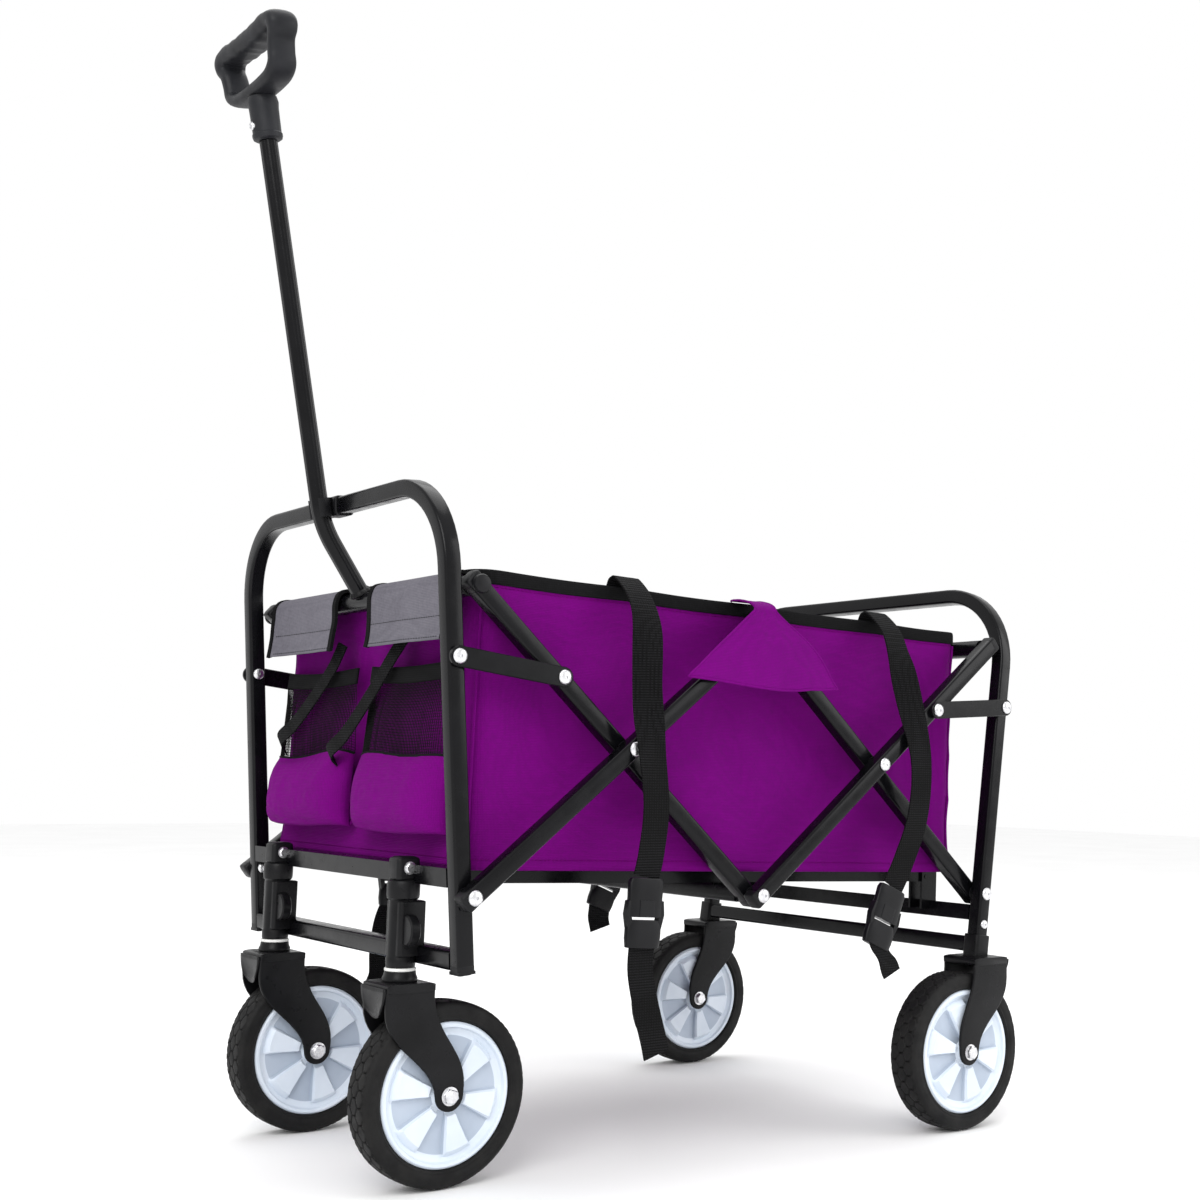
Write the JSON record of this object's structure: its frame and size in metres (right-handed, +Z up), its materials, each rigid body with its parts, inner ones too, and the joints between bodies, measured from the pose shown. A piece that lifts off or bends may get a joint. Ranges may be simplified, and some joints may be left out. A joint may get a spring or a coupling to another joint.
{
  "type": "folding utility wagon",
  "caption": "Folding fabric utility wagon with a steel scissor frame, swivelling front wheels and a pull handle with a loop grip.",
  "frame": {"origin": "on the ground, under the centre of the open wagon's bounding box", "axes": "+X to the rear, away from the pull handle; +Y to the right of someone pulling the wagon by its handle and facing away from it; +Z up"},
  "size_m": [0.928, 0.574, 1.1806],
  "materials": {
    "black_steel": "gloss",
    "zinc": "satin",
    "black_plastic": "satin",
    "grip_plastic": "satin",
    "rubber": "matte",
    "wheel_plastic": "satin",
    "purple_fabric": "matte",
    "grey_fabric": "matte",
    "webbing": "matte"
  },
  "bodies": {
    "front_frame": {"front_arch": "black_steel", "front_lower_bar": "black_steel", "front_floor_bar": "black_steel", "front_leg_caps": "black_plastic", "handle_clip": "black_plastic", "caster_socket_left": "black_steel", "caster_socket_right": "black_steel", "front_leg_rivets": "zinc"},
    "front_rising_bars": {"front_rising_bar_left": "black_steel", "front_rising_bar_right": "black_steel", "front_rising_rivets": "zinc"},
    "front_falling_bars": {"front_falling_bar_left": "black_steel", "front_falling_bar_right": "black_steel", "centre_cross_bar": "black_steel"},
    "rear_falling_bars": {"rear_falling_bar_left": "black_steel", "rear_falling_bar_right": "black_steel"},
    "rear_rising_bars": {"rear_rising_bar_left": "black_steel", "rear_rising_bar_right": "black_steel", "rear_top_bar": "black_steel", "rear_rising_rivets": "zinc"},
    "rear_frame": {"rear_arch": "black_steel", "rear_lower_bar": "black_steel", "rear_floor_bar": "black_steel", "rear_leg_rivets": "zinc", "rear_fork_left": "black_steel", "rear_fork_right": "black_steel", "rear_axle_bolts": "zinc"},
    "front_links": {"front_links": "black_steel", "front_link_rivets": "zinc"},
    "rear_links": {"rear_links": "black_steel", "rear_link_rivets": "zinc"},
    "front_liner": {"front_panel": "purple_fabric", "left_panel": "purple_fabric", "right_panel": "purple_fabric", "front_flaps": "grey_fabric", "front_pockets": "purple_fabric", "side_straps": "webbing"},
    "rear_liner": {"rear_panel": "purple_fabric"},
    "front_floor_rails": {"front_floor_rails": "black_steel", "front_floor_panel": "purple_fabric"},
    "rear_floor_rails": {"rear_floor_rails": "black_steel", "rear_floor_panel": "purple_fabric"},
    "handle_bushes": {"handle_bushes": "black_plastic"},
    "handle": {"handle_tube": "black_steel", "handle_cross_tube": "black_steel", "handle_collar": "black_plastic", "handle_grip": "grip_plastic", "handle_screw": "zinc"},
    "caster_left": {"caster_fork_left": "black_steel", "caster_bolt_left": "zinc"},
    "wheel_front_left": {"tyre_front_left": "rubber", "hub_front_left": "wheel_plastic"},
    "wheel_rear_left": {"tyre_rear_left": "rubber", "hub_rear_left": "wheel_plastic"},
    "caster_right": {"caster_fork_right": "black_steel", "caster_bolt_right": "zinc"},
    "wheel_front_right": {"tyre_front_right": "rubber", "hub_front_right": "wheel_plastic"},
    "wheel_rear_right": {"tyre_rear_right": "rubber", "hub_rear_right": "wheel_plastic"}
  },
  "joints": [
    {"name": "fold", "type": "hinge", "parent": "front_frame", "child": "front_rising_bars", "pos_m": [-0.29016, 0, 0.28503], "axis": [0, -1, 0], "range_deg": [0, 27], "deforming": ["left_panel", "right_panel", "side_straps", "front_floor_panel", "rear_floor_panel"]},
    {"name": "front_cross_pivot", "type": "hinge", "parent": "front_rising_bars", "child": "front_falling_bars", "pos_m": [-0.11214, 0, 0.42663], "axis": [0, -1, 0], "range_deg": [-54, 0]},
    {"name": "middle_top_pivot", "type": "hinge", "parent": "front_rising_bars", "child": "rear_falling_bars", "pos_m": [0.06588, 0, 0.56823], "axis": [0, -1, 0], "range_deg": [-54, 0]},
    {"name": "rear_cross_pivot", "type": "hinge", "parent": "rear_falling_bars", "child": "rear_rising_bars", "pos_m": [0.23624, 0, 0.41751], "axis": [0, -1, 0], "range_deg": [0, 54]},
    {"name": "rear_leg_pivot", "type": "hinge", "parent": "rear_falling_bars", "child": "rear_frame", "pos_m": [0.4066, 0, 0.26678], "axis": [0, -1, 0], "range_deg": [0, 27]},
    {"name": "front_link_pivot", "type": "hinge", "parent": "front_frame", "child": "front_links", "pos_m": [-0.30822, 0, 0.50958], "axis": [0, -1, 0], "range_deg": [0, 53.62]},
    {"name": "rear_link_pivot", "type": "hinge", "parent": "rear_frame", "child": "rear_links", "pos_m": [0.4364, 0, 0.49008], "axis": [0, -1, 0], "range_deg": [-53.62, 0]},
    {"name": "front_liner_hang", "type": "hinge", "parent": "front_falling_bars", "child": "front_liner", "pos_m": [-0.28592, 0, 0.58038], "axis": [0, -1, 0], "range_deg": [0, 27]},
    {"name": "rear_liner_hang", "type": "hinge", "parent": "rear_rising_bars", "child": "rear_liner", "pos_m": [0.41784, 0, 0.56195], "axis": [0, -1, 0], "range_deg": [-27, 0]},
    {"name": "front_rail_pivot", "type": "hinge", "parent": "front_frame", "child": "front_floor_rails", "pos_m": [-0.2704, 0, 0.29982], "axis": [0, -1, 0], "range_deg": [0, 61.24]},
    {"name": "rear_rail_pivot", "type": "hinge", "parent": "rear_frame", "child": "rear_floor_rails", "pos_m": [0.38765, 0, 0.28258], "axis": [0, -1, 0], "range_deg": [-61.24, 0]},
    {"name": "handle_bush_turn", "type": "hinge", "parent": "front_falling_bars", "child": "handle_bushes", "pos_m": [-0.28592, 0, 0.58038], "axis": [0, -1, 0], "range_deg": [0, 171.45]},
    {"name": "handle_swing", "type": "hinge", "parent": "handle_bushes", "child": "handle", "pos_m": [-0.28592, 0, 0.58038], "axis": [0, 1, 0], "range_deg": [-115, 0]},
    {"name": "caster_left_swivel", "type": "hinge", "parent": "front_frame", "child": "caster_left", "pos_m": [-0.30432, -0.15, 0.2], "axis": [0, 0, 1], "continuous": true},
    {"name": "wheel_front_left_spin", "type": "hinge", "parent": "caster_left", "child": "wheel_front_left", "pos_m": [-0.25832, -0.15, 0.089], "axis": [0, 1, 0], "continuous": true},
    {"name": "wheel_rear_left_spin", "type": "hinge", "parent": "rear_frame", "child": "wheel_rear_left", "pos_m": [0.36143, -0.256, 0.089], "axis": [0, 1, 0], "continuous": true},
    {"name": "caster_right_swivel", "type": "hinge", "parent": "front_frame", "child": "caster_right", "pos_m": [-0.30432, 0.15, 0.2], "axis": [0, 0, 1], "continuous": true},
    {"name": "wheel_front_right_spin", "type": "hinge", "parent": "caster_right", "child": "wheel_front_right", "pos_m": [-0.25832, 0.15, 0.089], "axis": [0, 1, 0], "continuous": true},
    {"name": "wheel_rear_right_spin", "type": "hinge", "parent": "rear_frame", "child": "wheel_rear_right", "pos_m": [0.36143, 0.256, 0.089], "axis": [0, 1, 0], "continuous": true}
  ],
  "couplings": [
    {"joint": "front_cross_pivot", "follows": "fold", "ratio": -2},
    {"joint": "middle_top_pivot", "follows": "fold", "ratio": -2},
    {"joint": "rear_cross_pivot", "follows": "fold", "ratio": 2},
    {"joint": "rear_leg_pivot", "follows": "fold", "ratio": 1},
    {"joint": "front_link_pivot", "follows": "fold", "ratio": 1.986},
    {"joint": "rear_link_pivot", "follows": "fold", "ratio": -1.986},
    {"joint": "front_liner_hang", "follows": "fold", "ratio": 1},
    {"joint": "rear_liner_hang", "follows": "fold", "ratio": -1},
    {"joint": "front_rail_pivot", "follows": "fold", "ratio": 2.268},
    {"joint": "rear_rail_pivot", "follows": "fold", "ratio": -2.268},
    {"joint": "handle_bush_turn", "follows": "fold", "ratio": 6.35}
  ]
}
